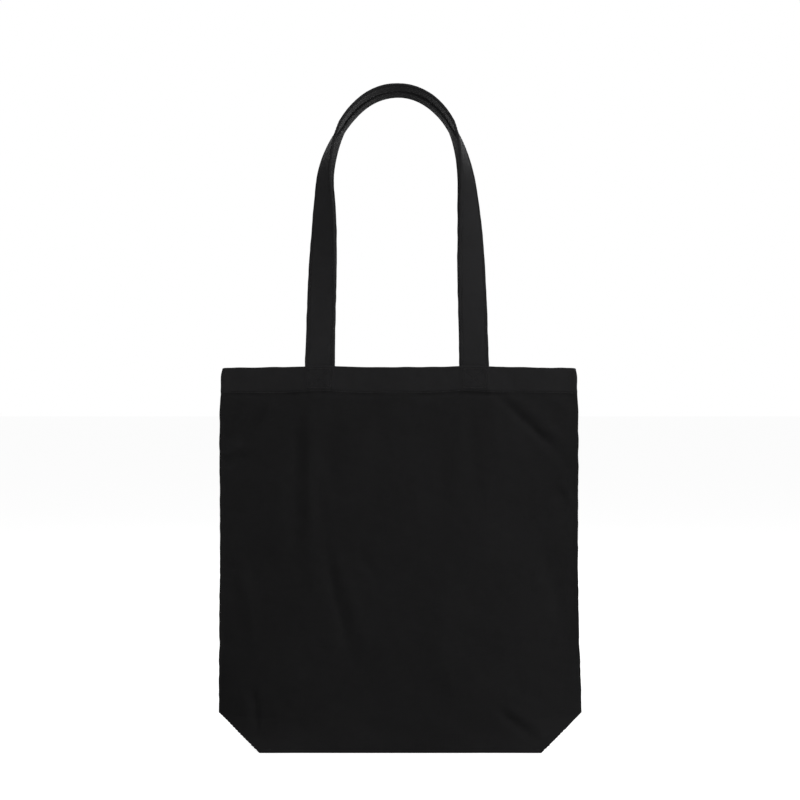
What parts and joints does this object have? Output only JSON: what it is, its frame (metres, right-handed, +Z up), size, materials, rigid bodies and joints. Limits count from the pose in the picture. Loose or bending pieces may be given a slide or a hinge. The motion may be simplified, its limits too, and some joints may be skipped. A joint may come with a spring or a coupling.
{
  "type": "canvas tote bag",
  "caption": "Open-topped canvas tote bag with a boxed base, a folded hem and long flat strap handles sewn inside the mouth.",
  "frame": {"origin": "middle of the flat base, on the surface that the bag stands on", "axes": "+Z up towards the handles, +X along the bag's width to its right as seen from the front, front faces -Y"},
  "size_m": [0.384, 0.09, 0.6923],
  "materials": {
    "canvas": "matte plain weave",
    "strap": "matte plain weave",
    "thread": "satin thread"
  },
  "bodies": {
    "bag": {"front_panel": "canvas", "back_panel": "canvas", "front_hem": "canvas", "back_hem": "canvas", "left_side_seam": "canvas", "right_side_seam": "canvas", "bottom_seam": "canvas", "left_corner_seam": "canvas", "right_corner_seam": "canvas", "front_handle_left_end": "strap", "front_handle_right_end": "strap", "back_handle_left_end": "strap", "back_handle_right_end": "strap", "front_left_box_stitch": "thread", "front_right_box_stitch": "thread", "back_left_box_stitch": "thread", "back_right_box_stitch": "thread", "front_hem_stitching": "thread", "back_hem_stitching": "thread"},
    "front_handle": {"front_handle": "strap", "front_handle_stitching": "thread"},
    "back_handle": {"back_handle": "strap", "back_handle_stitching": "thread"}
  },
  "joints": [
    {"name": "front_handle_fold", "type": "hinge", "parent": "bag", "child": "front_handle", "pos_m": [0, -0.0117, 0.397], "axis": [1, 0, 0], "range_deg": [0, 170]},
    {"name": "back_handle_fold", "type": "hinge", "parent": "bag", "child": "back_handle", "pos_m": [0, 0.0117, 0.397], "axis": [-1, 0, 0], "range_deg": [0, 170]}
  ]
}
